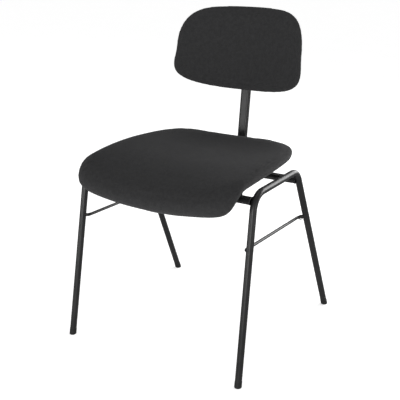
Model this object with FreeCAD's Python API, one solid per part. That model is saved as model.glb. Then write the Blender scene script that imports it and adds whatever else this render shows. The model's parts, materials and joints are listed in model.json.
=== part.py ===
import FreeCAD, Part
import math
import os

# Stacking choir chair. Millimetres, Z up, the sitter faces -Y.
# The origin is on the floor, midway between the four feet.

os.makedirs("parts", exist_ok=True)
V = FreeCAD.Vector

# Side frames: one round tube each, bent into front leg, rail and rear leg
tube_diameter = 18.0
tube_wall = 2.0
tube_bend_radius = 45.0
rail_half_width = 253.0
leg_splay = 10.0
foot_reach = 271.5
rail_height = 472.7
front_corner_y = -186.9
rear_corner_y = 49.8

# Plastic glides pushed into the leg ends
glide_overhang = 0.5
glide_height = 17.0
glide_stem_length = 24.0
glide_edge_round = 2.0
stem_clearance = 0.15

# Cross tubes and backrest bar: flat-oval tube
oval_width = 30.0
oval_thickness = 15.0
oval_wall = 1.5
front_cross_drop = 14.2
front_cross_lead = 3.1
cope_depth = 3.0
weld_gap = 0.1

# Backrest bar: from the front cross tube, back under the seat, then up
bar_corner_setback = 164.0
bar_bend_radius = 50.0
bar_lean = 7.8
bar_behind_back = 209.0
plug_cap = 2.5
plug_stem = 18.0
plug_edge_round = 1.2

# Side rods between the legs
rod_diameter = 8.0
rod_front_drop = 135.7
rod_rear_drop = 145.7
rod_clearance = 2.0
rod_front_setback = 6.5
rod_rear_setback = 21.0
rod_bend_radius = 9.0

# Seat: outside sizes of the upholstered pad
seat_bar_clearance = 51.3
seat_fall_lead = 5.86
seat_kick_length = 115.0
seat_kick_angle = 14.0
seat_fall_radius = 46.5
seat_fall_angle = 93.0
seat_side_clearance = 8.0
seat_rear_taper = 40.0
seat_front_taper = 5.0
seat_rear_corner_power = 5.8
seat_front_corner_power = 8.3
seat_edge_thickness = 22.0
seat_middle_thickness = 38.5
seat_rear_thickness = 37.0
seat_front_thickness = 46.0
seat_side_rise = 28.0
seat_side_rise_rear = 17.5
seat_side_rise_front = 9.0
seat_ply = 11.0
seat_support_gap = 0.5

# Backrest: outside sizes of the upholstered pad
back_rise = 156.3
back_height = 236.0
back_half_width = 217.0
back_top_half_width = 162.0
back_bottom_half_width = 280.0
back_bottom_corner_power = 2.75
back_top_corner_power = 4.6
back_curve_radius = 330.0
back_edge_thickness = 13.0
back_middle_thickness = 25.0
back_ply = 8.0
back_bar_gap = 0.3

# Upholstery layers
cover_thickness = 1.0
layer_gap = 0.1
ply_inset = 14.0
ply_lift = 0.8
lining_side_margin = 65.0
lining_front_margin = 12.0
lining_rear_margin = 50.0
lining_corner = 40.0
lining_gap = 0.3
lining_reach_up = 29.0

# Fasteners: M6 screws with washers into tee nuts
screw_diameter = 6.0
screw_hole_clearance = 0.6
screw_head_diameter = 11.0
screw_head_height = 3.3
hex_socket_width = 4.0
hex_socket_depth = 2.0
washer_diameter = 14.0
washer_thickness = 1.2
nut_barrel_wall = 0.9
nut_flange_diameter = 17.0
nut_flange_thickness = 1.2
nut_thread_clearance = 0.2
nut_gap = 0.4
nut_pocket_gap = 0.5
screw_past_nut = 1.0
seat_screw_x = 90.0
back_screw_rises = (61.0, 171.0)
spacer_diameter = 20.0
buffer_side_margin = 31.0
buffer_diameter = 15.0
buffer_stem_diameter = 6.0
buffer_stem_length = 5.0
buffer_gap = 0.3

# Sizes that follow from the ones above
tube_radius = tube_diameter / 2
foot_half_width = rail_half_width + leg_splay
glide_diameter = tube_diameter + 2 * glide_overhang
front_cross_height = rail_height - front_cross_drop
rod_front_height = rail_height - rod_front_drop
rod_rear_height = rail_height - rod_rear_drop
rod_inset = tube_radius + rod_clearance + rod_diameter / 2
bar_corner_y = rear_corner_y + bar_corner_setback
lean_tan = math.tan(math.radians(bar_lean))
back_bottom_height = rail_height + back_rise
bar_top_height = back_bottom_height + bar_behind_back
back_screw_heights = [back_bottom_height + rise for rise in back_screw_rises]
seat_rear_y = bar_corner_y - seat_bar_clearance
seat_half_width = rail_half_width - seat_side_clearance
seat_rear_half_width = seat_half_width - seat_rear_taper
seat_front_half_width = seat_half_width - seat_front_taper
lining_half_width = seat_half_width - lining_side_margin
buffer_x = seat_half_width - buffer_side_margin
screw_hole_diameter = screw_diameter + screw_hole_clearance
nut_bore_diameter = screw_diameter + nut_thread_clearance
nut_barrel_diameter = nut_bore_diameter + 2 * nut_barrel_wall


def save(name, shape):
    """Write one node; a list of solids becomes one group."""
    if isinstance(shape, list):
        shape = Part.makeCompound(shape)
    shape.exportStep("parts/" + name + ".step")
    print(name, len(shape.Solids), "solid(s), valid", shape.isValid(), "volume", round(shape.Volume))


def rounded_path(points, radius):
    """Lines between the points, with an arc of the radius at each inner corner."""
    edges = []
    start = points[0]
    for before, corner, after in zip(points, points[1:], points[2:]):
        to_before = (before - corner).normalize()
        to_after = (after - corner).normalize()
        half_angle = to_before.getAngle(to_after) / 2
        reach = radius / math.tan(half_angle)
        inward = (to_before + to_after).normalize()
        arc_start = corner + to_before * reach
        arc_end = corner + to_after * reach
        arc_middle = corner + inward * (radius / math.sin(half_angle) - radius)
        edges.append(Part.makeLine(start, arc_start))
        edges.append(Part.Arc(arc_start, arc_middle, arc_end).toShape())
        start = arc_end
    edges.append(Part.makeLine(start, points[-1]))
    return Part.Wire(edges)


def sweep(path, profile):
    return path.makePipeShell([profile], True, False)


def round_profile(centre, direction, radius):
    return Part.Wire([Part.makeCircle(radius, centre, direction)])


def round_tube(points, bend_radius, radius, wall=0.0):
    """A bent round bar, or a tube where a wall is given."""
    path = rounded_path(points, bend_radius)
    direction = points[1] - points[0]
    outside = sweep(path, round_profile(points[0], direction, radius))
    if wall == 0.0:
        return outside
    return outside.cut(sweep(path, round_profile(points[0], direction, radius - wall)))


def oval_profile(centre, wide, thin, width, thickness):
    """A slot shape: two flats joined by half rounds, each as two quarter arcs."""
    radius = thickness / 2
    flat = width / 2 - radius
    diagonal = radius * math.sqrt(0.5)

    def at(a, b):
        return centre + wide * a + thin * b

    edges = [Part.makeLine(at(-flat, radius), at(flat, radius))]
    for side, turn in ((1, 1), (-1, -1)):
        nose = at(side * (flat + radius), 0)
        first = at(side * flat, turn * radius)
        last = at(side * flat, -turn * radius)
        first_middle = at(side * (flat + diagonal), turn * diagonal)
        last_middle = at(side * (flat + diagonal), -turn * diagonal)
        edges.append(Part.Arc(first, first_middle, nose).toShape())
        edges.append(Part.Arc(nose, last_middle, last).toShape())
        if side == 1:
            edges.append(Part.makeLine(last, at(-flat, -radius)))
    return Part.Wire(edges)


def cylinder_between(start, end, radius):
    return Part.makeCylinder(radius, (end - start).Length, start, end - start)


def leg_axis(side, end, height):
    """The point on a leg's straight axis at a height. side is -1 or 1; end is 'front' or 'rear'."""
    share = 1 - height / rail_height
    x = rail_half_width + (foot_half_width - rail_half_width) * share
    corner = front_corner_y if end == "front" else rear_corner_y
    foot = -foot_reach if end == "front" else foot_reach
    return V(side * x, corner + (foot - corner) * share, height)


def leg_direction(side, end):
    return (leg_axis(side, end, rail_height) - leg_axis(side, end, 0)).normalize()


def leg_end(side, end):
    """Where the tube is cut square, above the glide's collar."""
    return leg_axis(side, end, 0) + leg_direction(side, end) * (glide_height + layer_gap)


def side_frame_points(side):
    front_corner = leg_axis(side, "front", rail_height)
    rear_corner = leg_axis(side, "rear", rail_height)
    return [leg_end(side, "front"), front_corner, rear_corner, leg_end(side, "rear")]


def side_frame(side):
    return round_tube(side_frame_points(side), tube_bend_radius, tube_radius, tube_wall)


def side_frame_outside(side, gap=0.0):
    """The frame tube as a solid bar, for coping what is welded to it."""
    return round_tube(side_frame_points(side), tube_bend_radius, tube_radius + gap)


def side_rod(side):
    front_leg = leg_axis(side, "front", rod_front_height)
    rear_leg = leg_axis(side, "rear", rod_rear_height)
    inward = V(-side * rod_inset, 0, 0)
    front_corner = front_leg + inward + V(0, rod_front_setback, 0)
    rear_corner = rear_leg + inward - V(0, rod_rear_setback, 0)
    rod = round_tube([front_leg, front_corner, rear_corner, rear_leg], rod_bend_radius, rod_diameter / 2)
    return largest_solid(rod.cut(side_frame_outside(side, weld_gap)))


def largest_solid(shape):
    return max(shape.Solids, key=lambda solid: solid.Volume)


def glide(side, end):
    """A collar under the tube end, cut flat at the floor, with a stem inside the tube."""
    direction = leg_direction(side, end)
    floor_point = leg_axis(side, end, 0)
    collar_top = floor_point + direction * glide_height
    collar = cylinder_between(floor_point - direction * tube_diameter, collar_top, glide_diameter / 2)
    below = Part.makeBox(100, 100, 50, V(floor_point.x - 50, floor_point.y - 50, -50))
    collar = collar.cut(below)
    sole = [edge for edge in collar.Edges if edge.BoundBox.ZMax < 0.01]
    collar = collar.makeFillet(glide_edge_round, sole)
    stem_radius = tube_radius - tube_wall - stem_clearance
    stem = cylinder_between(collar_top - direction, collar_top + direction * glide_stem_length, stem_radius)
    return largest_solid(collar.fuse(stem).removeSplitter())


# Levels and places shared by the frame and the seat
front_cross_y = front_corner_y - front_cross_lead
rear_cross_height = front_cross_height - oval_thickness - weld_gap
rear_cross_y = leg_axis(1, "rear", rear_cross_height).y
support_height = front_cross_height + oval_thickness / 2
seat_underside_height = support_height + seat_support_gap


def cross_tube_outside(centre_y, height, half_length, grow=0.0):
    profile = oval_profile(V(-half_length, centre_y, height), V(0, 1, 0), V(0, 0, 1),
                           oval_width + 2 * grow, oval_thickness + 2 * grow)
    return Part.Face(profile).extrude(V(2 * half_length, 0, 0))


def cross_tube(centre_y, height, hole_xs, hole_diameter, buffer_xs=()):
    """A flat-oval tube coped to the inner sides of the frames, with screw holes through both walls."""
    half_length = leg_axis(1, "front", height).x - tube_radius + cope_depth
    tube = cross_tube_outside(centre_y, height, half_length)
    tube = tube.cut(cross_tube_outside(centre_y, height, half_length + 1, -oval_wall))
    for side in (-1, 1):
        tube = tube.cut(side_frame_outside(side, weld_gap))
    for x in hole_xs:
        low_point = V(x, centre_y, height - oval_thickness)
        tube = tube.cut(Part.makeCylinder(hole_diameter / 2, 2 * oval_thickness, low_point))
    for x in buffer_xs:
        stem_radius = buffer_stem_diameter / 2 + stem_clearance
        tube = tube.cut(Part.makeCylinder(stem_radius, oval_thickness, V(x, centre_y, height)))
    return largest_solid(tube)


def bar_centre(height):
    """The bar's axis on its upright, at a height above its bend."""
    return V(0, bar_corner_y + (height - front_cross_height) * lean_tan, height)


def bar_direction():
    return (bar_centre(bar_top_height) - bar_centre(front_cross_height)).normalize()


def backrest_bar_solid(width, thickness):
    start = V(0, front_cross_y, front_cross_height)
    path = rounded_path([start, bar_centre(front_cross_height), bar_centre(bar_top_height)], bar_bend_radius)
    return sweep(path, oval_profile(start, V(1, 0, 0), V(0, 0, 1), width, thickness))


def back_normal():
    """Square to the bar's front face, pointing forward to the sitter."""
    upward = bar_direction()
    return V(0, -upward.z, upward.y)


def backrest_bar():
    bar = backrest_bar_solid(oval_width, oval_thickness)
    bar = bar.cut(backrest_bar_solid(oval_width - 2 * oval_wall, oval_thickness - 2 * oval_wall))
    bar = bar.cut(cross_tube_outside(front_cross_y, front_cross_height, oval_width, weld_gap))
    for height in back_screw_heights:
        start = bar_centre(height) - back_normal() * oval_thickness
        bar = bar.cut(Part.makeCylinder(screw_hole_diameter / 2, 2 * oval_thickness, start, back_normal()))
    return largest_solid(bar)


def bar_plug():
    """A cap on the bar's open top, with a stem inside it."""
    top = bar_centre(bar_top_height) + bar_direction() * layer_gap
    cap = Part.Face(oval_profile(top, V(1, 0, 0), back_normal(), oval_width, oval_thickness))
    cap = cap.extrude(bar_direction() * plug_cap)
    upper_rim = []
    for edge in cap.Edges:
        if (edge.CenterOfMass - top).dot(bar_direction()) > plug_cap * 0.9:
            upper_rim.append(edge)
    cap = cap.makeFillet(plug_edge_round, upper_rim)
    shrink = 2 * (oval_wall + stem_clearance)
    stem_profile = oval_profile(top, V(1, 0, 0), back_normal(), oval_width - shrink, oval_thickness - shrink)
    stem = Part.Face(stem_profile).extrude(bar_direction() * -plug_stem)
    return cap.fuse(stem).removeSplitter()


# Pads: shared helpers

def along(b, peak, at_minus, at_peak, at_plus):
    """A value that runs from at_minus at b = -1 through at_peak at b = peak to at_plus at b = 1."""
    if b < peak:
        return at_peak + (at_minus - at_peak) * ((peak - b) / (peak + 1)) ** 2
    return at_peak + (at_plus - at_peak) * ((b - peak) / (1 - peak)) ** 2


def outline_share(b, power):
    """How much of the full half width is left at b, for an outline with rounded corners."""
    return (1 - abs(b) ** power) ** (1 / power)


def lip_share(distance, radius):
    """How much of the full thickness is left near a rounded end."""
    if distance >= radius:
        return 1.0
    return math.sqrt(1 - (1 - distance / radius) ** 2)


def arc(first, middle, last):
    return Part.Arc(first, middle, last).toShape()


def loft(sections):
    return Part.makeLoft(sections, True, False)


seat_stations = (-0.985, -0.96, -0.92, -0.85, -0.7, -0.5, -0.25, 0.0, 0.25, 0.45,
                 0.58, 0.65, 0.72, 0.79, 0.85, 0.9, 0.94, 0.97, 0.985)
back_stations = (-0.985, -0.96, -0.92, -0.85, -0.7, -0.5, -0.25, 0.0,
                 0.25, 0.5, 0.7, 0.85, 0.92, 0.96, 0.985)

# Seat pad

seat_kick_radius = seat_kick_length / math.radians(seat_kick_angle)
seat_kick_reach = seat_kick_radius * math.sin(math.radians(seat_kick_angle))
seat_flat_rear_y = seat_rear_y - seat_kick_reach
seat_flat_front_y = front_cross_y - seat_fall_lead
seat_flat_length = seat_flat_rear_y - seat_flat_front_y
seat_fall_length = seat_fall_radius * math.radians(seat_fall_angle)
seat_length = seat_kick_length + seat_flat_length + seat_fall_length


def seat_place(distance):
    """Point and upward normal on the underside's middle line, at a distance from the rear end."""
    if distance < seat_kick_length:
        angle = (seat_kick_length - distance) / seat_kick_radius
        y = seat_flat_rear_y + seat_kick_radius * math.sin(angle)
        z = seat_underside_height + seat_kick_radius * (1 - math.cos(angle))
        return V(0, y, z), V(0, -math.sin(angle), math.cos(angle))
    if distance < seat_kick_length + seat_flat_length:
        y = seat_flat_rear_y - (distance - seat_kick_length)
        return V(0, y, seat_underside_height), V(0, 0, 1)
    angle = (distance - seat_kick_length - seat_flat_length) / seat_fall_radius
    y = seat_flat_front_y - seat_fall_radius * math.sin(angle)
    z = seat_underside_height - seat_fall_radius * (1 - math.cos(angle))
    return V(0, y, z), V(0, -math.sin(angle), math.cos(angle))


def seat_shape_at(b, inset):
    """Half width, side rise, edge and middle thickness and the lip's share at a station."""
    distance = seat_length / 2 + b * (seat_length / 2 - inset)
    width = along(b, 0.2, seat_rear_half_width, seat_half_width, seat_front_half_width)
    power = seat_rear_corner_power if b < 0 else seat_front_corner_power
    width = width * outline_share(b, power) - inset
    share = lip_share((1 - abs(b)) * seat_length / 2, seat_edge_thickness / 2)
    rise = along(b, -0.2, seat_side_rise_rear, seat_side_rise, seat_side_rise_front)
    middle = along(b, -0.2, seat_rear_thickness, seat_middle_thickness, seat_front_thickness)
    return distance, width, rise, middle, share


def seat_full_section(b, inset):
    """Underside arc, rounded sides, rolled shoulders and dished top."""
    distance, width, rise, middle, share = seat_shape_at(b, inset)
    origin, up = seat_place(distance)
    edge = seat_edge_thickness * share - 2 * inset
    low = (1 - share) * seat_edge_thickness / 2 + inset
    thick = middle * share - 2 * inset
    side_round = edge / 2
    shoulder = seat_edge_thickness * 0.9

    def at(x, h):
        return origin + V(x, 0, 0) + up * (low + h)

    foot = width - side_round
    right_foot = at(foot, rise)
    left_foot = at(-foot, rise)
    right_nose = at(width, rise + edge * 0.5)
    left_nose = at(-width, rise + edge * 0.5)
    right_top = at(width - shoulder, rise + edge)
    left_top = at(-width + shoulder, rise + edge)
    slant = side_round * 0.3
    edges = [
        arc(left_foot, at(0, 0), right_foot),
        arc(right_foot, at(width - slant, rise + edge * 0.15), right_nose),
        arc(right_nose, at(width - slant * 1.6, rise + edge * 0.84), right_top),
        arc(right_top, at(0, thick), left_top),
        arc(left_top, at(-width + slant * 1.6, rise + edge * 0.84), left_nose),
        arc(left_nose, at(-width + slant, rise + edge * 0.15), left_foot),
    ]
    return Part.Wire(edges)


def seat_layer_section(b, inset, bottom, top):
    """A layer that follows the underside: arcs below and above, straight edges."""
    distance, width, rise, middle, share = seat_shape_at(b, inset)
    origin, up = seat_place(distance)

    def at(x, h):
        return origin + V(x, 0, 0) + up * h

    edges = [
        arc(at(-width, rise + bottom), at(0, bottom), at(width, rise + bottom)),
        Part.makeLine(at(width, rise + bottom), at(width, rise + top)),
        arc(at(width, rise + top), at(0, top), at(-width, rise + top)),
        Part.makeLine(at(-width, rise + top), at(-width, rise + bottom)),
    ]
    return Part.Wire(edges)


def seat_full(inset):
    return loft([seat_full_section(b, inset) for b in seat_stations])


def seat_layer(inset, bottom, top):
    return loft([seat_layer_section(b, inset, bottom, top) for b in seat_stations])


def seat_underside_at(x, y):
    """Height of the pad's underside at a plan point behind the front fall."""
    distance = seat_kick_length + seat_flat_rear_y - y
    if y > seat_flat_rear_y:
        distance = seat_kick_length - seat_kick_radius * math.asin((y - seat_flat_rear_y) / seat_kick_radius)
    b = 2 * distance / seat_length - 1
    distance, width, rise, middle, share = seat_shape_at(b, 0)
    foot = width - seat_edge_thickness / 2
    radius = (foot ** 2 + rise ** 2) / (2 * rise)
    return seat_place(distance)[0].z + radius - math.sqrt(radius ** 2 - x ** 2)


seat_screw_places = [(x, y) for y in (front_cross_y, rear_cross_y) for x in (-seat_screw_x, seat_screw_x)]
seat_ply_bottom = cover_thickness + ply_lift
seat_ply_top = seat_ply_bottom + seat_ply


def seat_nut_level(x, y):
    """Height of a tee nut's flange, on the plywood's highest point under it."""
    return seat_underside_at(abs(x) + nut_flange_diameter / 2, y) + seat_ply_top + nut_gap


def lining_prism(grow):
    """Plan shape of the lining, as a rounded block through the underside only."""
    front = front_cross_y - lining_front_margin
    rear = seat_rear_y - lining_rear_margin
    low = V(-lining_half_width - grow, front - grow, seat_underside_height - 30)
    length = rear - front + 2 * grow
    block = Part.makeBox(2 * (lining_half_width + grow), length, 30 + lining_reach_up, low)
    upright = [edge for edge in block.Edges if abs(edge.tangentAt(edge.FirstParameter).z) > 0.9]
    return block.makeFillet(lining_corner + grow, upright)


def seat_holes(radius, low, high):
    return [Part.makeCylinder(radius, high - low, V(x, y, low)) for x, y in seat_screw_places]


def cut_all(shape, tools):
    for tool in tools:
        shape = shape.cut(tool)
    return shape


def seat_nodes():
    outer = seat_full(0)
    inner = seat_full(cover_thickness)
    skin = outer.cut(inner)
    cover = largest_solid(skin.cut(lining_prism(lining_gap)))
    lining = largest_solid(skin.common(lining_prism(0)))
    low = seat_underside_height - 5
    hole_top = seat_underside_height + seat_ply_top + nut_flange_thickness + 5
    lining = cut_all(lining, seat_holes(screw_hole_diameter / 2, low, low + 20))
    ply = seat_layer(ply_inset, seat_ply_bottom, seat_ply_top)
    ply = cut_all(ply, seat_holes(nut_barrel_diameter / 2 + layer_gap, low, hole_top + 10))
    pocket = seat_layer(ply_inset - layer_gap, -10, seat_ply_top + layer_gap)
    foam = largest_solid(seat_full(cover_thickness + layer_gap).cut(pocket))
    for x, y in seat_screw_places:
        pocket_radius = nut_flange_diameter / 2 + nut_pocket_gap
        pocket_low = seat_underside_at(abs(x) - pocket_radius, y) + seat_ply_top - 1
        pocket_top = seat_nut_level(x, y) + nut_flange_thickness + screw_past_nut + nut_pocket_gap
        foam = foam.cut(Part.makeCylinder(pocket_radius, pocket_top - pocket_low, V(x, y, pocket_low)))
    save("seat_shell", largest_solid(ply))
    save("seat_foam", foam)
    save("seat_cover", cover)
    save("seat_lining", lining)


# Fasteners, each made on the origin along +Z and then placed

def placed(shape, point, direction):
    turn = FreeCAD.Rotation(V(0, 0, 1), direction)
    moved = shape.copy()
    moved.Placement = FreeCAD.Placement(point, turn)
    return moved


def screw(length):
    """Button-head socket screw; its shank points along +Z from the head's underside."""
    head = Part.makeCylinder(screw_head_diameter / 2, screw_head_height, V(0, 0, -screw_head_height))
    rim = [edge for edge in head.Edges if edge.BoundBox.ZMax < -screw_head_height + 0.01]
    head = head.makeFillet(screw_head_height * 0.6, rim)
    socket_radius = hex_socket_width / math.sqrt(3)
    points = []
    for step in range(7):
        angle = math.radians(60 * step)
        corner = V(socket_radius * math.cos(angle), socket_radius * math.sin(angle), -screw_head_height)
        points.append(corner)
    socket = Part.Face(Part.makePolygon(points)).extrude(V(0, 0, hex_socket_depth))
    shank = Part.makeCylinder(screw_diameter / 2, length)
    return head.cut(socket).fuse(shank).removeSplitter()


def washer():
    ring = Part.makeCylinder(washer_diameter / 2, washer_thickness)
    return ring.cut(Part.makeCylinder(screw_hole_diameter / 2, washer_thickness))


def tee_nut(barrel_length):
    """Barrel below z = 0, flange above it, bored through."""
    foot = V(0, 0, -barrel_length)
    barrel = Part.makeCylinder(nut_barrel_diameter / 2, barrel_length, foot)
    flange = Part.makeCylinder(nut_flange_diameter / 2, nut_flange_thickness)
    bore = Part.makeCylinder(nut_bore_diameter / 2, barrel_length + nut_flange_thickness, foot)
    return barrel.fuse(flange).cut(bore)


def seat_fasteners():
    screws = []
    washers = []
    nuts = []
    spacers = []
    for x, y in seat_screw_places:
        tube_height = front_cross_height if y == front_cross_y else rear_cross_height
        tube_bottom = tube_height - oval_thickness / 2
        tube_top = tube_height + oval_thickness / 2
        outward = V(1 if x > 0 else -1, 0, 0)
        underside = seat_underside_at(abs(x) - spacer_diameter / 2, y)
        nut_seat = seat_nut_level(x, y)
        washer_base = tube_bottom - layer_gap - washer_thickness
        washers.append(placed(washer(), V(x, y, washer_base), V(0, 0, 1)))
        head_level = washer_base - layer_gap
        length = nut_seat + nut_flange_thickness + screw_past_nut - head_level
        screws.append(placed(screw(length), V(x, y, head_level), V(0, 0, 1)))
        nuts.append(placed(tee_nut(seat_ply - 2), V(x, y, nut_seat), V(0, 0, 1)))
        spacer = Part.makeCylinder(spacer_diameter / 2, underside - tube_top - 2 * layer_gap,
                                   V(x, y, tube_top + layer_gap))
        spacers.append(spacer.cut(Part.makeCylinder(screw_hole_diameter / 2, 60, V(x, y, tube_top - 5))))
    save("seat_screws", screws)
    save("seat_screw_washers", washers)
    save("seat_tee_nuts", nuts)
    save("seat_spacers", spacers)


def seat_buffers():
    """Two pads on the front cross tube, under the seat's raised sides."""
    buffers = []
    tube_top = front_cross_height + oval_thickness / 2
    for x in (-buffer_x, buffer_x):
        top = seat_underside_at(buffer_x - buffer_diameter / 2, front_cross_y) - buffer_gap
        pad = Part.makeCylinder(buffer_diameter / 2, top - tube_top - layer_gap,
                                V(x, front_cross_y, tube_top + layer_gap))
        rim = [edge for edge in pad.Edges if edge.BoundBox.ZMin > top - 0.01]
        pad = pad.makeFillet(1.5, rim)
        stem = Part.makeCylinder(buffer_stem_diameter / 2, buffer_stem_length + 1,
                                 V(x, front_cross_y, tube_top - buffer_stem_length))
        buffers.append(pad.fuse(stem).removeSplitter())
    save("seat_buffers", buffers)


# Backrest pad: horizontal curve round the sitter, leaning back with the bar

back_middle_height = back_bottom_height + back_height / 2
back_face_offset = oval_thickness / 2 + back_bar_gap


def back_shape_at(b, inset):
    """Origin on the rear middle line, half width along the curve, thicknesses at a station."""
    reach = b * (back_height / 2 - inset)
    origin = bar_centre(back_middle_height) + bar_direction() * reach + back_normal() * back_face_offset
    width = along(b, 0.0, back_bottom_half_width, back_half_width, back_top_half_width)
    power = back_bottom_corner_power if b < 0 else back_top_corner_power
    width = width * outline_share(b, power) - inset
    share = lip_share((1 - abs(b)) * back_height / 2, back_edge_thickness / 2)
    middle = back_edge_thickness + (back_middle_thickness - back_edge_thickness) * (1 - b ** 4)
    return origin, width, middle, share


def back_full_section(b, inset):
    """Rear arc, rounded sides and a crowned front."""
    origin, width, middle, share = back_shape_at(b, inset)
    edge = back_edge_thickness * share - 2 * inset
    low = (1 - share) * back_edge_thickness / 2 + inset
    thick = middle * share - 2 * inset

    def at(run, depth):
        """run is measured round the rear curve, depth forward from the rear surface."""
        angle = run / back_curve_radius
        radius = back_curve_radius - low - depth
        return origin + V(radius * math.sin(angle), 0, 0) + back_normal() * (
            back_curve_radius - radius * math.cos(angle))

    foot = width - edge / 2
    slant = edge * 0.15
    edges = [
        arc(at(-foot, 0), at(0, 0), at(foot, 0)),
        arc(at(foot, 0), at(width - slant, edge * 0.15), at(width, edge / 2)),
        arc(at(width, edge / 2), at(width - slant, edge * 0.85), at(foot, edge)),
        arc(at(foot, edge), at(0, thick), at(-foot, edge)),
        arc(at(-foot, edge), at(-width + slant, edge * 0.85), at(-width, edge / 2)),
        arc(at(-width, edge / 2), at(-width + slant, edge * 0.15), at(-foot, 0)),
    ]
    return Part.Wire(edges)


def back_layer_section(b, inset, rear, front):
    origin, width, middle, share = back_shape_at(b, inset)

    def at(run, depth):
        angle = run / back_curve_radius
        radius = back_curve_radius - depth
        return origin + V(radius * math.sin(angle), 0, 0) + back_normal() * (
            back_curve_radius - radius * math.cos(angle))

    edges = [
        arc(at(-width, rear), at(0, rear), at(width, rear)),
        Part.makeLine(at(width, rear), at(width, front)),
        arc(at(width, front), at(0, front), at(-width, front)),
        Part.makeLine(at(-width, front), at(-width, rear)),
    ]
    return Part.Wire(edges)


def back_full(inset):
    return loft([back_full_section(b, inset) for b in back_stations])


def back_layer(inset, rear, front):
    return loft([back_layer_section(b, inset, rear, front) for b in back_stations])


back_ply_rear = cover_thickness + ply_lift
back_ply_front = back_ply_rear + back_ply


def back_hole(height, radius, near, far):
    """A cylinder square to the bar, from near to far in front of the pad's rear surface."""
    base = bar_centre(height) + back_normal() * (back_face_offset + near)
    return Part.makeCylinder(radius, far - near, base, back_normal())


def back_nodes():
    cover = back_full(0).cut(back_full(cover_thickness))
    ply = back_layer(ply_inset, back_ply_rear, back_ply_front)
    pocket = back_layer(ply_inset - layer_gap, -10, back_ply_front + layer_gap)
    foam = back_full(cover_thickness + layer_gap).cut(pocket)
    for height in back_screw_heights:
        cover = cover.cut(back_hole(height, screw_hole_diameter / 2, -3, cover_thickness + 3))
        ply = ply.cut(back_hole(height, nut_barrel_diameter / 2 + layer_gap, -3, back_ply_front + 5))
        pocket_top = back_ply_front + nut_gap + nut_flange_thickness + screw_past_nut + nut_pocket_gap
        foam = foam.cut(back_hole(height, nut_flange_diameter / 2 + nut_pocket_gap, back_ply_front - 1,
                                  pocket_top))
    save("backrest_shell", largest_solid(ply))
    save("backrest_foam", largest_solid(foam))
    save("backrest_cover", largest_solid(cover))


def back_fasteners():
    screws = []
    washers = []
    nuts = []
    for height in back_screw_heights:
        rear_face = bar_centre(height) - back_normal() * (oval_thickness / 2)
        washer_base = rear_face - back_normal() * (layer_gap + washer_thickness)
        head_level = washer_base - back_normal() * layer_gap
        nut_seat = bar_centre(height) + back_normal() * (back_face_offset + back_ply_front + nut_gap)
        length = (nut_seat - head_level).Length + nut_flange_thickness + screw_past_nut
        screws.append(placed(screw(length), head_level, back_normal()))
        washers.append(placed(washer(), washer_base, back_normal()))
        nuts.append(placed(tee_nut(back_ply - 2), nut_seat, back_normal()))
    save("backrest_screws", screws)
    save("backrest_screw_washers", washers)
    save("backrest_tee_nuts", nuts)


for side, side_name in ((-1, "left"), (1, "right")):
    save("side_frame_" + side_name, side_frame(side))
    save("side_rod_" + side_name, side_rod(side))
    for end in ("front", "rear"):
        save(end + "_" + side_name + "_glide", glide(side, end))

screw_xs = (-seat_screw_x, seat_screw_x)
save("front_cross_tube", cross_tube(front_cross_y, front_cross_height, screw_xs, screw_hole_diameter,
                                    (-buffer_x, buffer_x)))
save("rear_cross_tube", cross_tube(rear_cross_y, rear_cross_height, screw_xs, screw_hole_diameter))
save("backrest_bar", backrest_bar())
save("backrest_bar_plug", bar_plug())
seat_nodes()
seat_fasteners()
seat_buffers()
back_nodes()
back_fasteners()
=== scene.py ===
# %% [markdown]
# # A choir chair, finished in Blender
#
# The steel frame, the plywood, the screws and the plastic feet come from the CAD model, which
# already has their true sizes. This script gives them their finishes. It also makes what CAD only
# blocked out, the two upholstered pads and the stretched lining, and what CAD left out, the weld
# beads.
# One unit is a metre, the floor is z = 0, and the sitter faces -Y.

# %% Load the frame and keep its box
import json
import math
import bpy
import numpy as np
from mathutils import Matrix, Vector


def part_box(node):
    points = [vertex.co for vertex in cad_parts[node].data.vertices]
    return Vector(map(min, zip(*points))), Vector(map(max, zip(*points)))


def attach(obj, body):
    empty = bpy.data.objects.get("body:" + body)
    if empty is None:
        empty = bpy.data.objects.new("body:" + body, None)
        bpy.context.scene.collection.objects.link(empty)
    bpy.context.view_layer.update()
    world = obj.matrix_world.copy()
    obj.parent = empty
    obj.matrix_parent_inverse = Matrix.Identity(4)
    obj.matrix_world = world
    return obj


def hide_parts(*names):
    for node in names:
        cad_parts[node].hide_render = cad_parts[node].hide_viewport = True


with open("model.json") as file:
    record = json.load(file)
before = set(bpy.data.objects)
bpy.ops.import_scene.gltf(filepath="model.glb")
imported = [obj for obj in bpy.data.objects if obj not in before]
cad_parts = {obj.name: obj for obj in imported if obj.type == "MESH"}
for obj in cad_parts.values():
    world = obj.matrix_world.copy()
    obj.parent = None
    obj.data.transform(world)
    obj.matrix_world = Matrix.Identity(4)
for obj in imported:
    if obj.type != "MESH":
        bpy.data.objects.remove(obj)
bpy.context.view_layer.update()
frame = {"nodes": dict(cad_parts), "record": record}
nodes = frame["nodes"]

# %% [markdown]
# ## From a grid of points to a mesh
#
# Every new shape below is a surface: a function of two numbers, worked out for a whole grid at
# once. A grid that goes round, such as a tube, joins its last column to its first, and a row of
# equal points closes a pole. One helper turns such a grid into faces that point outwards.

# %% Grid helpers
MM = 0.001


def grid_faces(rows, columns, ring):
    """Four-cornered faces between neighbouring grid points; ring joins the last column to the first."""
    across = columns if ring else columns - 1
    row, column = np.meshgrid(np.arange(rows - 1), np.arange(across), indexing="ij")
    beside = (column + 1) % columns
    corners = (row * columns + column, row * columns + beside,
               (row + 1) * columns + beside, (row + 1) * columns + column)
    return np.stack(corners, axis=-1).reshape(-1, 4)


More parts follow.
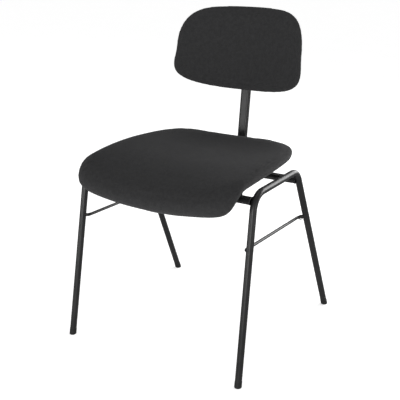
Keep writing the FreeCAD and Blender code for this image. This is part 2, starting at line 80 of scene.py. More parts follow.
def mesh_piece(name, points, faces, smooth=True):
    """A mesh object from points in millimetres and faces that may have three or four corners."""
    mesh = bpy.data.meshes.new(name)
    corners = [np.asarray(f, int) for f in faces]
    mesh.from_pydata((np.asarray(points) * MM).tolist(), [], np.concatenate(
        [c for c in corners if c.shape[1] == 4]).tolist() + sum(
        [c.tolist() for c in corners if c.shape[1] == 3], []))
    mesh.validate()
    mesh.shade_smooth() if smooth else mesh.shade_flat()
    piece = bpy.data.objects.new(name, mesh)
    bpy.context.scene.collection.objects.link(piece)
    return piece


def positions(mesh):
    """A mesh's points as rows of x, y, z, in metres."""
    co = np.zeros(len(mesh.vertices) * 3)
    mesh.vertices.foreach_get("co", co)
    return co.reshape(-1, 3)


def describe(piece):
    """Print how large a piece is, in millimetres, and how many faces it has."""
    co = positions(piece.data) / MM
    print(piece.name, "from", co.min(0).round(1), "to", co.max(0).round(1), len(piece.data.polygons), "faces")


# %% [markdown]
# ## The chair's own sizes
#
# The soft pieces have to sit where the frame holds them, so the few sizes of the frame that they
# meet are the CAD model's own, in millimetres: the front cross tube, the backrest's leaning bar,
# and the level at which the seat rests.

# %% Sizes of the frame
oval_thickness = 15.0
front_cross_height = 458.5
front_cross_y = -190.0
bar_corner_y = 213.8
bar_lean = math.radians(7.8)
seat_underside_height = 466.5

# %% [markdown]
# ## The seat pad's shape
#
# The seat is a moulded board with foam on it: it rises a little behind, lies flat where the frame
# carries it, and falls over the front edge. In plan it is almost a rectangle with soft corners.
# A board like that is two sheets, a lower one and an upper one, that meet at the rim. Rings of
# points run from the middle of the top, over the rim, to the middle of the underside, so the
# whole pad is one closed skin. The sizes were fitted until the pad's outline, seen from where
# the camera stands, lay on the photographed one.

# %% Sizes of the seat
kick_length, kick_angle = 146.8, math.radians(12.19)
fall_radius, fall_angle = 41.2, math.radians(106.2)
kick_radius = kick_length / kick_angle
seat_rear_y = 164.0
flat_rear_y = seat_rear_y - kick_radius * math.sin(kick_angle)
fall_lead = 1.9
flat_front_y = front_cross_y - fall_lead
flat_length = flat_rear_y - flat_front_y
seat_length = kick_length + flat_length + fall_radius * fall_angle
seat_rear_half_width, seat_half_width, seat_front_half_width = 205.4, 243.2, 234.3
seat_edge = 30.3


def along(b, peak, at_minus, at_peak, at_plus):
    """A value that runs from at_minus at b = -1 through at_peak at b = peak to at_plus at b = 1,
    as two half parabolas."""
    behind = at_peak + (at_minus - at_peak) * ((peak - b) / (peak + 1)) ** 2
    ahead = at_peak + (at_plus - at_peak) * ((b - peak) / (1 - peak)) ** 2
    return np.where(b < peak, behind, ahead)


def through(b, knots, values):
    """A smooth curve through the knots: cubic pieces, each with its end slopes taken from the neighbours."""
    knots, values = np.asarray(knots, float), np.asarray(values, float)
    slope = np.gradient(values, knots)
    i = np.clip(np.searchsorted(knots, b) - 1, 0, len(knots) - 2)
    span = knots[i + 1] - knots[i]
    t = (b - knots[i]) / span
    first = (2 * t ** 3 - 3 * t ** 2 + 1) * values[i] + (t ** 3 - 2 * t ** 2 + t) * span * slope[i]
    second = (3 * t ** 2 - 2 * t ** 3) * values[i + 1] + (t ** 3 - t ** 2) * span * slope[i + 1]
    return first + second


def rim_share(distance, radius, power=2.0):
    """How far the skin has risen from the rim: 0 at the rim, 1 from radius inwards, round in between."""
    inward = 1 - np.clip(distance / radius, 0, 1)
    return (1 - inward ** power) ** (1 / power)


def disc_rings(half_x, half_y, power_minus, power_plus, rim_radius, around=160, inner=26, rim=12):
    """Points a, b of a rounded rectangle and their distance to its rim: every ring stays the same distance
    from the rim, and the rings crowd together near it. |a|^p + |b|^p = ring^p gives each ring's outline."""
    turn = np.linspace(0, 2 * np.pi, around, endpoint=False)
    power = np.where(np.sin(turn) < 0, power_minus, power_plus)
    ca, sb = np.cos(turn), np.sin(turn)
    size = (np.abs(ca) ** power + np.abs(sb) ** power) ** (1 / power)
    a1, b1 = ca / size, sb / size
    side = np.abs(a1) ** power
    half = side * half_x + (1 - side) * half_y
    crowd = rim_radius * (1 - np.cos(np.linspace(0, np.pi / 2, rim)))
    outer = 1 - crowd[:, None] / half
    inside = outer[-1] * np.linspace(1, 0, inner)[1:, None]
    ring = np.concatenate([outer, inside])
    distance = (1 - ring) * half
    return ring * a1, ring * b1, distance


def closed_skin(name, top, under):
    """One closed mesh from two stacks of rings that share their first ring, the rim, and end in a pole."""
    rings = np.concatenate([top[::-1], under[1:]])
    rows, columns = rings.shape[:2]
    body = rings[1:-1].reshape(-1, 3)
    poles = np.array([rings[0, 0], rings[-1, 0]])
    quads = grid_faces(rows - 2, columns, True)
    first = np.arange(columns)
    last = (rows - 3) * columns + first
    top_pole, under_pole = len(body), len(body) + 1
    fan_top = np.stack([np.full(columns, top_pole), np.roll(first, -1), first], 1)
    fan_under = np.stack([np.full(columns, under_pole), last, np.roll(last, -1)], 1)
    return mesh_piece(name, np.concatenate([body, poles]), [quads[:, ::-1], fan_top, fan_under])


# %% The middle line and the pad's thickness
def seat_place(distance):
    """Place and upward normal on the underside's middle line: an arc, a straight and a tighter arc."""
    back = np.clip((kick_length - distance) / kick_radius, 0, None)
    fall = np.clip((distance - kick_length - flat_length) / fall_radius, 0, None)
    flat = np.clip(distance - kick_length, 0, flat_length)
    y = flat_rear_y + kick_radius * np.sin(back) - flat - fall_radius * np.sin(fall)
    z = seat_underside_height + kick_radius * (1 - np.cos(back)) - fall_radius * (1 - np.cos(fall))
    turn = np.where(back > 0, back, fall)
    return y, z, -np.sin(turn), np.cos(turn)


rear_knots, rear_thickness = (-1.0, -0.6, -0.2, 0.16), (47.3, 39.3, 36.6, 37.5)
roll_start_y, roll_reach, roll_low, roll_top = -85.0, 216.0, 426.2, 504.0
rear_rise, middle_rise, front_rise = 11.8, 26.3, 9.6
room_depth, room_distance, room_spread = 2.4, 60.0, 44.0


def seat_width(b):
    """Half the seat's width at b, from -1 behind to 1 in front."""
    return along(b, 0.2, seat_rear_half_width, seat_half_width, seat_front_half_width)


def seat_rise(b, side):
    """How far the underside has risen towards the sides, where side is 0 in the middle and 1 at the rim."""
    return along(b, -0.2, rear_rise, middle_rise, front_rise) * side ** 2


def board_room(distance):
    """How far the underside hangs below its middle line behind, a bell curve, so that the board has room."""
    return room_depth * np.exp(-((distance - room_distance) / room_spread) ** 2)


def pad_thickness(b):
    """Thickness in the middle. Behind, a curve through knots. Ahead, the top is a quarter of an ellipse,
    and the thickness h is how far it lies along the underside's normal n, from
    |(p + h n - centre) / half axes| = 1."""
    y, z, up_y, up_z = seat_place(np.maximum(seat_length / 2 * (1 + b), kick_length))
    axis_z = roll_top - roll_low
    p_y, p_z = np.minimum(y - roll_start_y, 0) / roll_reach, (z - roll_low) / axis_z
    n_y, n_z = up_y / roll_reach, up_z / axis_z
    square, cross, rest = n_y ** 2 + n_z ** 2, p_y * n_y + p_z * n_z, p_y ** 2 + p_z ** 2 - 1
    ahead = (np.sqrt(np.maximum(cross ** 2 - square * rest, 0)) - cross) / square
    return np.where(b > rear_knots[-1], ahead, through(b, rear_knots, rear_thickness))


# %% [markdown]
# ## The seat as two closed sheets
#
# The lining that closes the underside lies flush, so the lower sheet has a shallow recess of the
# lining's own outline, a rounded oblong.

# %% The top and the underside, with room for the lining
seat_corner_powers, seat_rim_radius = (5.6, 13.4), 22.0
top_rim_radius, top_rim_power, under_rim_radius = 42.6, 2.11, 11.0
corner_pull = 16.2
lining_half_width, lining_half_length, lining_middle = 180.0, 158.0, 208.0
lining_power, lining_recess, lining_border = 9.0, 0.6, 0.03


def inside_lining(x, distance):
    """1 where the lining covers the underside, 0 outside it, and a slope of lining_border between.
    The outline is where |x|^p + |y|^p = 1 in units of the lining's half sizes."""
    reach = (np.abs(x / lining_half_width) ** lining_power
             + np.abs((distance - lining_middle) / lining_half_length) ** lining_power) ** (1 / lining_power)
    return np.clip((1 + lining_border - reach) / lining_border, 0, 1)


def seat_sheets(inset):
    """Top and underside rings. Height above the middle line is the underside's side rise plus the pad's
    thickness. The ends bow, so that their corners lie a little nearer to the middle than their centres."""
    half_length = seat_length / 2
    a, b, distance = disc_rings(seat_half_width, half_length, *seat_corner_powers, seat_rim_radius)
    middle = pad_thickness(b)
    side = np.abs(a)
    under = seat_rise(b, side)
    edge = seat_rise(b, 1.0) + seat_edge
    over = middle + (edge - middle) * side ** along(b, 0.3, 2.09, 2.93, 2.93)
    nose = under + seat_edge / 2
    x = a * (seat_width(b) - inset)
    run = half_length + b * (half_length - inset) - corner_pull * np.abs(b) ** 3 * side ** 2
    y, z, up_y, up_z = seat_place(run)

    def sheet(height):
        """The grid at a height above the middle line, along its normal."""
        return np.stack([x, y + up_y * height, z + up_z * height], -1)

    top = nose + (over - inset - nose) * rim_share(distance, top_rim_radius, top_rim_power)
    low = nose + (under - board_room(run) + inset - nose) * rim_share(distance, under_rim_radius)
    return sheet(top), sheet(low + lining_recess * inside_lining(x, run))


seat_base = closed_skin("seat_base", *seat_sheets(inset=0.8))
describe(seat_base)

# %% [markdown]
# ## The backrest pad's shape
#
# The backrest is a thinner board, curved round the sitter's back and leaning with its bar. It is
# wide and low, with large round corners below and tighter ones above, and its front is crowned.

# %% Sizes of the backrest
back_bottom_height, back_height = 629.1, 235.8
back_half_width, back_curve_radius = 215.2, 326.0
back_edge, back_middle = 12.0, 25.0
back_low_half_width, back_top_half_width = 283.0, 166.0
back_corner_powers, back_rim_radius, back_rim_power, back_under_rim_radius = (2.94, 6.5), 13.0, 2.2, 6.5
back_corner_pull, bar_gap = 10.0, 0.3
back_up = np.array([0.0, math.sin(bar_lean), math.cos(bar_lean)])
back_forward = np.array([0.0, -math.cos(bar_lean), math.sin(bar_lean)])


def bar_centre(height):
    """The bar's axis at a height."""
    return np.array([0.0, bar_corner_y + (height - front_cross_height) * math.tan(bar_lean), height])


def back_sheets(inset):
    """Front and rear rings, bent round a circle whose centre lies ahead of the sitter's back."""
    a, b, distance = disc_rings(back_half_width, back_height / 2, *back_corner_powers, back_rim_radius)
    width = along(b, 0.0, back_low_half_width, back_half_width, back_top_half_width)
    run = a * (width - inset)
    reach = b * (back_height / 2 - inset) - back_corner_pull * b * np.abs(b) ** 0.5 * a ** 2
    middle = back_edge + (back_middle - back_edge) * (1 - b ** 4)
    front = back_edge + (middle - back_edge) * (1 - a ** 2)
    nose = back_edge / 2
    origin = bar_centre(back_bottom_height + back_height / 2) + back_forward * (oval_thickness / 2 + bar_gap)

    def sheet(depth):
        """The grid at a depth ahead of the board, bent round the circle."""
        radius = back_curve_radius - depth
        turn = run / back_curve_radius
        across = np.stack([radius * np.sin(turn), 0 * turn, 0 * turn], -1)
        forward = back_curve_radius - radius * np.cos(turn)
        return origin + across + reach[..., None] * back_up + forward[..., None] * back_forward

    top = nose + (front - inset - nose) * rim_share(distance, back_rim_radius, back_rim_power)
    low = nose + (inset - nose) * rim_share(distance, back_under_rim_radius)
    return sheet(top), sheet(low)


back_base = closed_skin("back_base", *back_sheets(inset=0.6))
describe(back_base)

# %% [markdown]
# ## Fabric under tension
#
# Foam pushes a tight cover outwards, which is what rounds an upholstered board. Blender's cloth
# can do that: the skin is remeshed into even squares and blown up, and of that swelling no point
# keeps more than two millimetres, because the foam is firm. The underside stays where the board
# is, because the frame's tubes and spacers touch it there.

# %% Blow up a pad
seat_voxel, seat_cap = 5.0, 2.0
back_voxel, back_cap = 4.0, 1.5
relax_rounds, cloth_pressure, cloth_steps = 6, 4, 20


def puffed(base, name, voxel, cap, share_that_moves):
    """The base remeshed and swollen by cloth pressure: each point moves along its normal by its swelling,
    no less than 0 and no more than the cap, times its share. Pulling inwards is left out, so that
    the rims stay put."""
    mesh = base.data.copy()
    piece = bpy.data.objects.new(name, mesh)
    bpy.context.scene.collection.objects.link(piece)
    remesh = piece.modifiers.new("remesh", "REMESH")
    remesh.mode = "VOXEL"
    remesh.voxel_size = voxel * MM
    relax = piece.modifiers.new("relax", "SMOOTH")
    relax.iterations = relax_rounds
    back_onto = piece.modifiers.new("back_onto", "SHRINKWRAP")
    back_onto.target = base
    even = bpy.data.meshes.new_from_object(piece.evaluated_get(bpy.context.evaluated_depsgraph_get()))
    piece.modifiers.clear()
    piece.data = even
    bpy.data.objects.remove(base)
    start = positions(piece.data)
    moved = start
    cloth = piece.modifiers.new("cloth", "CLOTH")
    cloth.settings.use_pressure = True
    cloth.settings.uniform_pressure_force = cloth_pressure
    cloth.settings.effector_weights.gravity = 0
    cloth.settings.quality = 6
    for step in range(1, cloth_steps + 1):
        bpy.context.scene.frame_set(step)
    blown = piece.evaluated_get(bpy.context.evaluated_depsgraph_get())
    moved = positions(blown.data)
    piece.modifiers.clear()
    bpy.context.scene.frame_set(1)
    outward = np.zeros(start.size)
    piece.data.vertex_normals.foreach_get("vector", outward)
    outward = outward.reshape(-1, 3)
    swell = np.sum((moved - start) * outward, axis=1) / MM
    kept = np.clip(swell, 0, cap) * share_that_moves(start / MM)
    piece.data.vertices.foreach_set("co", (start + outward * kept[:, None] * MM).ravel())
    piece.data.update()
    piece.data.shade_smooth()
    print(name, len(start), "points, swelling in mm: middle", round(float(np.median(swell)), 1), "largest",
          round(float(swell.max()), 1), "kept", round(float(kept.max()), 1))
    return piece


level_behind, level_beside = 15.0, 26.0
free_from, free_over, fall_over, fall_share = 4.0, 14.0, 20.0, 0.6
back_free_from, back_free_over = 3.0, 6.0


def seat_share(p):
    """All of the move above the rim, none on the underside: how far a point lies above the underside's
    height, which grows with the square of the way behind and of the way to the side. On the front fall
    the share turns to a fixed one."""
    slope = np.clip((p[:, 1] - flat_rear_y) / kick_length, 0, 1)
    level = (seat_underside_height + level_behind * slope ** 2
             + level_beside * (p[:, 0] / seat_half_width) ** 2)
    ahead = np.clip((flat_front_y - p[:, 1]) / fall_over, 0, 1)
    return np.clip((p[:, 2] - level - free_from) / free_over, 0, 1) * (1 - ahead) + ahead * fall_share


def back_share(p):
    """Full on the front face and the rim, none on the rear face that the bar touches."""
    origin = bar_centre(back_bottom_height)
    depth = (p - origin) @ back_forward
    arc = back_curve_radius - np.sqrt(np.clip(back_curve_radius ** 2 - p[:, 0] ** 2, 0, None))
    return np.clip((depth - arc - oval_thickness / 2 - back_free_from) / back_free_over, 0, 1)


seat_cushion = puffed(seat_base, "seat_cushion", seat_voxel, seat_cap, seat_share)
backrest_cushion = puffed(back_base, "backrest_cushion", back_voxel, back_cap, back_share)
for cushion in (seat_cushion, backrest_cushion):
    finer = cushion.modifiers.new("finer", "SUBSURF")
    finer.levels = 1
    finer.render_levels = 1
    describe(cushion)
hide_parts("seat_cover", "seat_foam")
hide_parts("backrest_cover", "backrest_foam")

# %% [markdown]
# ## The lining under the seat
#
# A thin pressed felt closes the underside. It is cut as a rounded oblong and pulled tight over
# the board, so it follows the board's curve and has no folds. It is the underside's own formula,
# and it lies in the shallow recess that the pad leaves for it.

# %% Stretch the lining
lining_lift, lining_thickness, lining_edge = 0.05, 0.5, 6.0


def lining_sheet():
    """Rings of a rounded oblong on the underside's formula, from its edge to its middle."""
    a, b, _ = disc_rings(lining_half_width, lining_half_length, lining_power, lining_power, lining_edge,
                          around=96)
    x = a * lining_half_width
    run = lining_middle + b * lining_half_length
    along_seat = run / (seat_length / 2) - 1
    y, z, up_y, up_z = seat_place(run)
    height = seat_rise(along_seat, np.abs(x) / seat_width(along_seat)) + lining_lift - board_room(run)
    points = np.stack([x, y + up_y * height, z + up_z * height], -1)
    rows, columns = points.shape[:2]
    faces = grid_faces(rows - 1, columns, True)
    first = (rows - 2) * columns + np.arange(columns)
    fan = np.stack([np.full(columns, (rows - 1) * columns), first, np.roll(first, -1)], 1)
    body = points[:-1].reshape(-1, 3)
    return mesh_piece("stretched_lining", np.concatenate([body, points[-1:, 0]]), [faces, fan])


lining = lining_sheet()
felt = lining.modifiers.new("felt", "SOLIDIFY")
felt.thickness = lining_thickness * MM
felt.offset = -1.0
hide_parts("seat_lining")
describe(lining)

# %% [markdown]
# ## Weld beads
#
# Each tube that ends against another is welded all round. A bead is a thin rope of metal along
# the tube's own end edge, so it is read from the CAD mesh: for each direction round the tube, the
# outermost point of its end. A circle carried along that loop, swelling a little where each drop
# of metal froze, makes the bead.

# %% Read a tube's end edge and lay a bead on it
end_depth = 12.0


def end_edge(name, toward, keep, steps=72):
    """Loop of points round a level tube's end, and the outward direction at each, in millimetres. In each
    of the steps round the tube, the vertex that lies furthest out, and among those the one nearest the
    end, gives the loop's radius and reach."""
    points = positions(nodes[name].data) / MM
    points = points[keep(points)]
    toward = np.asarray(toward, float)
    reach = points @ toward
    points = points[reach > reach.max() - end_depth]
    side = np.cross(toward, (0.0, 0.0, 1.0))
    up = np.cross(side, toward)
    centre = (points.min(0) + points.max(0)) / 2
    across, upward = (points - centre) @ side, (points - centre) @ up
    angle = np.arctan2(upward, across)
    size = np.hypot(across, upward)
    bins = np.floor((angle + np.pi) / (2 * np.pi) * steps).astype(int) % steps
    order = np.lexsort((points @ toward, np.round(size, 1), bins))
    last = order[np.append(np.nonzero(np.diff(bins[order]))[0], len(order) - 1)]
    last = last[np.argsort(angle[last])]
    turn = np.linspace(-np.pi, np.pi, steps, endpoint=False)

    def round_loop(values):
        """The chosen vertices' values, read off at even steps round the tube."""
        return np.interp(turn, angle[last], values[last], period=2 * np.pi)

    radius, far = round_loop(size), round_loop((points - centre) @ toward)
    out = np.cos(turn)[:, None] * side + np.sin(turn)[:, None] * up
    return centre + out * radius[:, None] + far[:, None] * toward, out, toward


def bead(loop, out, toward, radius=1.7, sunk=0.5, around=8):
    """A circle carried along the loop, sunk into the tube by a share of its radius r:
    point - sunk r out + r (cos t out + sin t toward)."""
    turn = np.linspace(0, 2 * np.pi, around, endpoint=False)
    drops = radius * (1 + 0.10 * np.sin(np.arange(len(loop)) * np.pi / 2))
    ring = np.cos(turn)[:, None] * out[:, None] + np.sin(turn)[:, None] * toward
    points = (loop - sunk * radius * out)[:, None] + ring * drops[:, None, None]
    return np.concatenate([points, points[:1]])


# %% All nine beads as one piece
beads = []
for side, name in ((-1, "left"), (1, "right")):
    for tube in ("front_cross_tube", "rear_cross_tube"):
        beads.append(bead(*end_edge(tube, (side, 0, 0), lambda p: p[:, 0] * side > 0)))
    rod = f"side_rod_{name}"
    middle_y = np.mean([corner[1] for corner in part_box(rod)]) / MM
    for end in (-1, 1):
        beads.append(bead(*end_edge(rod, (side, 0, 0), lambda p: (p[:, 1] - middle_y) * end > 0), radius=1.2))
beads.append(bead(*end_edge("backrest_bar", (0, -1, 0), lambda p: p[:, 1] < 0), radius=1.2, sunk=0.7))
bead_points, bead_faces, count = [], [], 0
for points in beads:
    rows, columns = points.shape[:2]
    bead_faces.append(grid_faces(rows, columns, True) % ((rows - 1) * columns) + count)
    bead_points.append(points[:-1].reshape(-1, 3))
    count += (rows - 1) * columns
weld_beads = mesh_piece("weld_beads", np.concatenate(bead_points), [np.concatenate(bead_faces)])
describe(weld_beads)

# %% [markdown]
# ## Writing a material as arithmetic
#
# A procedural material is a sum: noise here, a weave there, mixed and scaled. This small class
# wraps a node's output, so that plain + and * add the Math nodes, and the material reads like
# the formula it is. Any other node comes from one method.

# %% The socket class
class Signal:
    """A value inside a material. a + b, a * b and so on add Math nodes; node() adds any other node."""

    def __init__(self, tree, socket):
        self.tree, self.socket = tree, socket

    def node(self, kind, settings=None, out=0, **inputs):
        """Add a node, set its settings first, then its inputs by name, with _ for a space."""
        made = self.tree.nodes.new(kind)
        for key, value in (settings or {}).items():
            setattr(made, key, value)
        for key, value in inputs.items():
            socket = made.inputs[int(key[1:])] if key[1:].isdigit() else made.inputs[key.replace("_", " ")]
            if isinstance(value, Signal):
                self.tree.links.new(value.socket, socket)
            else:
                socket.default_value = value
        return Signal(self.tree, made.outputs[out])

    def math(self, operation, other=0.0):
        """A Math node on this value, with a number or another value as its second input."""
        return self.node("ShaderNodeMath", {"operation": operation}, i0=self, i1=other)

    def __add__(self, other):
        return self.math("ADD", other)

    def __mul__(self, other):
        return self.math("MULTIPLY", other)

    def __sub__(self, other):
        return self.math("SUBTRACT", other)

    def __rsub__(self, other):
        return self.node("ShaderNodeMath", {"operation": "SUBTRACT"}, i0=other, i1=self)

    __radd__, __rmul__ = __add__, __mul__

    def sine(self):
        """The sine of the value, in radians."""
        return self.math("SINE")

    def between(self, low, high, to_low=0.0, to_high=1.0):
        """The value stretched so that low..high becomes to_low..to_high, and clamped there."""
        return self.node("ShaderNodeMapRange", i0=self, i1=low, i2=high, i3=to_low, i4=to_high)

    def blend(self, first, second):
        """A colour that runs from first to second as this value runs from 0 to 1."""
        return self.node("ShaderNodeMix", {"data_type": "RGBA"}, out=2, i0=self, i6=first, i7=second)


def new_material(name, **uniform):
    """A material with one Principled shader; the uniform values sit on its own sockets."""
    material = bpy.data.materials.new(name)
    material.use_nodes = True
    tree = material.node_tree
    shader = tree.nodes["Principled BSDF"]
    for key, value in uniform.items():
        shader.inputs[key.replace("_", " ")].default_value = value
    start = Signal(tree, tree.nodes.new("ShaderNodeTexCoord").outputs["Object"])
    return material, shader, start


def connect(shader, **varying):
    """Link what changes over the surface to the shader."""
    for key, value in varying.items():
        value.tree.links.new(value.socket, shader.inputs[key.replace("_", " ")])


def noise(where, scale, detail=3.0, roughness=0.5):
    """Soft blotches, about scale of them to the metre."""
    return where.node("ShaderNodeTexNoise", Vector=where, Scale=scale, Detail=detail, Roughness=roughness)


def bumped(height, strength, distance):
    """The surface direction as if the value were a relief, distance metres deep."""
    return height.node("ShaderNodeBump", Height=height, Strength=strength, Distance=distance)


# %% [markdown]
# ## Black powder coat
#
# The tubes are powder coated: a baked plastic skin, satin black, with a very fine orange-peel
# texture that breaks up the highlights. Two noises do it, a fine one for the peel and a wide one
# that lets the gloss drift a little along the tube.

# %% Powder coat
def powder_coat():
    """A satin black skin with fine orange peel and a gloss that drifts."""
    material, shader, where = new_material("frame_powder_coat", IOR=1.5, Coat_Weight=0.0)
    peel = noise(where, 900.0, 2.0)
    drift = noise(where, 14.0, 3.0)
    tint = drift.between(0.3, 0.7).blend((0.010, 0.010, 0.011, 1), (0.016, 0.016, 0.016, 1))
    connect(shader, Base_Color=tint, Roughness=drift.between(0.3, 0.7, 0.27, 0.34) + peel * 0.05,
            Normal=bumped(peel, 0.25, 0.0002))
    return material


# %% [markdown]
# ## Charcoal weave
#
# The upholstery is a fine plain weave in black and dark grey yarns, with a short nap that
# catches light at a slant. Two sets of threads cross: each is a wave, and they take turns on
# top, like a chessboard. Part of the cloth's colour is the yarn's own tone, which varies, and part
# is painted shade: each thread's crown is painted lighter and the gaps between threads darker.
# The cloth has its own map, in metres along and across the pad, so the
# threads run over the front edge instead of smearing there. A thread is 1.1 mm wide.

# %% Upholstery fabric
THREAD_WIDTH = 0.0011


def upholstery():
    """Two sets of crossing threads, with yarn that varies in tone, and painted shade that darkens the gaps
    between the threads.
    """
    material, shader, where = new_material(
        "upholstery_fabric", Sheen_Weight=0.08, Sheen_Roughness=0.4, Specular_IOR_Level=0.15)
    shader.inputs["Sheen Tint"].default_value = (0.8, 0.8, 0.82, 1)
    cloth = where.node("ShaderNodeUVMap", {"uv_map": "cloth"})
    across = cloth.node("ShaderNodeSeparateXYZ", Vector=cloth)
    lengthwise = Signal(across.tree, across.socket.node.outputs[1])
    waves = math.pi / THREAD_WIDTH
    warp, weft = (across * waves).sine(), (lengthwise * waves).sine()
    over = (warp * weft).between(-0.35, 0.35)
    ridges = warp.math("ABSOLUTE") * over + weft.math("ABSOLUTE") * (1 - over)
    yarn = noise(where, 520.0, 3.0, 0.6)
    mottle = noise(where, 110.0, 3.0)
    # yarn and mottle are the cloth's own tone; ridges in the colour is painted shade, crowns lighter and gaps
    # darker
    shade = yarn.between(0.3, 0.7) * 0.45 + mottle.between(0.35, 0.65) * 0.2 + ridges * 0.35
    tint = shade.blend((0.014, 0.014, 0.0145, 1), (0.034, 0.034, 0.035, 1))
    connect(shader, Base_Color=tint, Roughness=shade.between(0.0, 1.0, 0.98, 0.86),
            Normal=bumped(ridges + yarn * 0.4, 0.5, 0.0004))
    return material


# %% [markdown]
# ## The quieter finishes
#
# Plastic, plywood, zinc and blackened steel are small on this chair, but each has its own grain:
# a fine moulded pebble, beech figure with a glue line every 1.4 mm, a spangle, and a dull oxide.
# The lining is pressed fibre with a dotted print.

# %% Plastic, plywood, zinc, black screws and lining
PLY_THICKNESS = 0.0014


def moulded_plastic():
    """Black nylon with a fine pebble."""
    material, shader, where = new_material("black_plastic", IOR=1.46)
    pebble = noise(where, 1400.0, 2.0)
    flow = noise(where, 60.0, 2.0)
    tint = flow.between(0.3, 0.7).blend((0.008, 0.008, 0.008, 1), (0.014, 0.014, 0.014, 1))
    connect(shader, Base_Color=tint, Roughness=flow.between(0.3, 0.7, 0.42, 0.52),
            Normal=bumped(pebble, 0.2, 0.0002))
    return material


def beech_plywood():
    """Beech figure, with dark glue lines one ply apart."""
    material, shader, where = new_material("moulded_plywood", IOR=1.45)
    stretched = where.node("ShaderNodeMapping", Vector=where, Scale=(60.0, 6.0, 60.0))
    figure = noise(stretched, 3.0, 5.0, 0.6)
    part = where.node("ShaderNodeSeparateXYZ", out=2, Vector=where)
    glue = (part * (2 * math.pi / PLY_THICKNESS)).sine().between(0.6, 0.95)
    tint = figure.between(0.3, 0.7).blend((0.52, 0.34, 0.18, 1), (0.66, 0.48, 0.30, 1))
    dark = (glue * 0.5).blend(tint, (0.25, 0.15, 0.08, 1))
    connect(shader, Base_Color=dark, Roughness=figure.between(0.2, 0.8, 0.55, 0.7),
            Normal=bumped(figure, 0.2, 0.0003))
    return material


def zinc_plate():
    """Bright zinc with a small spangle."""
    material, shader, where = new_material("zinc_steel", Metallic=1.0)
    grain = noise(where, 700.0, 3.0)
    spangle = where.node("ShaderNodeTexVoronoi", Vector=where, Scale=500.0)
    tint = spangle.between(0.0, 0.8).blend((0.50, 0.51, 0.54, 1), (0.66, 0.67, 0.68, 1))
    connect(shader, Base_Color=tint, Roughness=grain.between(0.3, 0.7, 0.28, 0.42),
            Normal=bumped(grain, 0.1, 0.0001))
    return material


def black_oxide():
    """Blackened steel with a dull bloom."""
    material, shader, where = new_material("black_screws", Metallic=0.6)
    bloom = noise(where, 500.0, 4.0, 0.6)
    tint = bloom.between(0.3, 0.7).blend((0.018, 0.018, 0.018, 1), (0.034, 0.033, 0.032, 1))
    connect(shader, Base_Color=tint, Roughness=bloom.between(0.3, 0.7, 0.36, 0.5),
            Normal=bumped(bloom, 0.15, 0.0001))
    return material


def pressed_lining():
    """Pressed black fibres with a dotted print."""
    material, shader, where = new_material("underside_lining", Specular_IOR_Level=0.2)
    fibres = noise(where, 420.0, 6.0, 0.75)
    clouds = noise(where, 35.0, 3.0)
    dots = where.node("ShaderNodeTexVoronoi", Vector=where, Scale=420.0)
    tint = (fibres.between(0.35, 0.65) * 0.6 + clouds.between(0.3, 0.7) * 0.4).blend(
        (0.008, 0.008, 0.008, 1), (0.022, 0.022, 0.022, 1))
    connect(shader, Base_Color=tint, Roughness=fibres.between(0.3, 0.7, 0.8, 0.95),
            Normal=bumped(dots.between(0.0, 0.5) + fibres * 0.3, 0.35, 0.0003))
    return material


makers = {
    "frame_powder_coat": powder_coat,
    "upholstery_fabric": upholstery,
    "underside_lining": pressed_lining,
    "moulded_plywood": beech_plywood,
    "black_plastic": moulded_plastic,
    "zinc_steel": zinc_plate,
    "black_screws": black_oxide,
}
finish = {slot: make() for slot, make in makers.items()}
print("finishes", sorted(finish))

# %% [markdown]
# ## Dress the CAD pieces
#
# Every node of the CAD model names its material slot in the record, so one loop gives each its
# finish. The foam and the plain cover are hidden by now, and need none.

# %% Give every node its finish
for subpart in frame["record"]["subparts"]:
    slot = subpart["material_slot"]
    node = nodes[subpart["node"]]
    if slot in finish:
        for place in node.material_slots:
            place.material = finish[slot]
        if not node.material_slots:
            node.data.materials.append(finish[slot])
print("dressed", len(nodes), "nodes")

# %% [markdown]
# ## The cloth's own map
#
# The weave needs to know where each point lay on the flat cloth. Across the seat that is x; along
# the seat it is the way forward, which runs round the front fall with the surface.

# %% Lay the cloth on the pads
cloth_above_board = 40.0


def cloth_map(piece, across, lengthwise):
    """Write a UV map in metres from two numbers per point."""
    mesh = piece.data
    corner = np.zeros(len(mesh.loops), int)
    mesh.loops.foreach_get("vertex_index", corner)
    layer = mesh.uv_layers.new(name="cloth")
    layer.uv.foreach_set("vector", (np.stack([across, lengthwise], 1)[corner] * MM).ravel())


def seat_cloth(p):
    """Distance along the seat: straight over the flat, and by angle round the front fall's centre."""
    centre_z = seat_underside_height - fall_radius
    angle = np.arctan2(flat_front_y - p[:, 1], p[:, 2] - centre_z)
    ahead = p[:, 1] < flat_front_y
    return np.where(ahead, -flat_front_y + (fall_radius + cloth_above_board) * angle, -p[:, 1])


def back_cloth(p):
    """Round the curve by angle, and up along the lean."""
    origin = bar_centre(back_bottom_height)
    depth = (p - origin) @ back_forward
    return back_curve_radius * np.arctan2(p[:, 0], back_curve_radius - depth), (p - origin) @ back_up


seat_points = positions(seat_cushion.data) / MM
cloth_map(seat_cushion, seat_points[:, 0], seat_cloth(seat_points))
back_points = positions(backrest_cushion.data) / MM
cloth_map(backrest_cushion, *back_cloth(back_points))
for cushion in (seat_cushion, backrest_cushion):
    cushion.data.materials.clear()
    cushion.data.materials.append(finish["upholstery_fabric"])
    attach(cushion, "root")

lining.data.materials.append(finish["underside_lining"])
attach(lining, "root")
weld_beads.data.materials.append(finish["frame_powder_coat"])
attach(weld_beads, "root")

# %% [markdown]
# ## Floor, light and camera
#
# A plain pale floor runs out of sight and glows a little, so that it turns to white. Six soft
# lights do the rest: one overhead, a large one behind at the right that draws the long highlights
# on the tubes, one in front, one in front at the left, one at the right, and a fill that lights
# the cloth but leaves no reflection. The camera stands where the photographer's did, to the right
# of the front.

# %% Floor
FLOOR_REACH, FLOOR_GLOW = 30000.0, 0.47


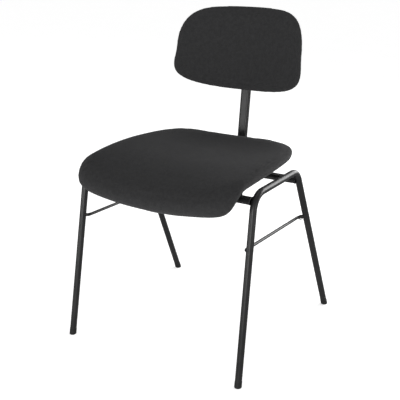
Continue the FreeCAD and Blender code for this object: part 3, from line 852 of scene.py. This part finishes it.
def pale_floor():
    """Near-white paint with a glow of its own."""
    material, shader, where = new_material("studio_floor", Roughness=0.9, Specular_IOR_Level=0.1)
    connect(shader, Base_Color=noise(where, 3.0).between(0.3, 0.7).blend(
        (0.88, 0.88, 0.88, 1), (0.90, 0.90, 0.90, 1)))
    shader.inputs["Emission Color"].default_value = (1, 1, 1, 1)
    shader.inputs["Emission Strength"].default_value = FLOOR_GLOW
    return material


floor_corners = [(x * FLOOR_REACH, y * FLOOR_REACH, 0) for x, y in ((-1, -1), (1, -1), (1, 1), (-1, 1))]
floor = mesh_piece("studio_floor", floor_corners, [np.array([[0, 1, 2, 3]])], smooth=False)
floor.data.materials.append(pale_floor())
floor.visible_glossy = False

# %% Light
DIFFUSE_SKY, GLOSSY_SKY = 0.60, 0.24
world = bpy.data.worlds.new("studio")
world.use_nodes = True
background = world.node_tree.nodes["Background"]
seen = Signal(world.node_tree, background.outputs[0]).node("ShaderNodeLightPath", out=0)
mirrored = Signal(world.node_tree, seen.socket.node.outputs["Is Glossy Ray"])
strength = seen * (1.0 - DIFFUSE_SKY) + DIFFUSE_SKY - mirrored * (DIFFUSE_SKY - GLOSSY_SKY)
connect(background, Strength=strength)
background.inputs["Color"].default_value = (1, 1, 1, 1)
bpy.context.scene.world = world
bpy.context.scene.view_settings.view_transform = "Standard"


def face(thing, place, direction):
    """Put a light or a camera at a place and turn its front, which is its -Z, to the direction."""
    thing.location = place
    thing.rotation_mode = "QUATERNION"
    thing.rotation_quaternion = Vector(direction).to_track_quat("-Z", "Y")


def soft_light(name, place, aim, width, height, power):
    """An oblong area light that faces the aim, both in metres, and isn't seen itself."""
    light = bpy.data.lights.new(name, "AREA")
    light.shape = "RECTANGLE"
    light.size, light.size_y = width, height
    light.energy = power
    lamp = bpy.data.objects.new(name, light)
    bpy.context.scene.collection.objects.link(lamp)
    face(lamp, place, np.array(aim) - np.array(place))
    lamp.visible_camera = False
    return lamp


soft_light("overhead", (0.3, 0.2, 3.2), (0, 0, 0.5), 1.6, 1.6, 4)
soft_light("backdrop", (1.3, 2.6, 1.25), (0, 0, 0.55), 2.6, 1.6, 66)
soft_light("front", (0.75, -2.8, 0.55), (0, 0, 0.5), 1.2, 1.0, 18)
soft_light("front_left", (-1.4, -2.4, 0.45), (0, 0, 0.5), 1.0, 0.8, 11)
soft_light("right", (2.6, -0.5, 0.6), (0, 0, 0.5), 0.8, 0.8, 6)
fill = soft_light("fill", (1.3, -2.8, 0.9), (0, 0, 0.45), 2.2, 1.4, 18)
fill.visible_glossy = False

# %% Camera
azimuth, elevation, distance = math.radians(31.39), math.radians(18.78), 2.0637
target = np.array([0.02975, -0.0685, 0.3876])
away = np.array([math.sin(azimuth) * math.cos(elevation), -math.cos(azimuth) * math.cos(elevation),
                 math.sin(elevation)])
camera_data = bpy.data.cameras.new("camera")
camera_data.lens = 69.73
camera_data.sensor_width = 36.0
camera = bpy.data.objects.new("camera", camera_data)
bpy.context.scene.collection.objects.link(camera)
face(camera, target + away * distance, -away)
bpy.context.scene.camera = camera
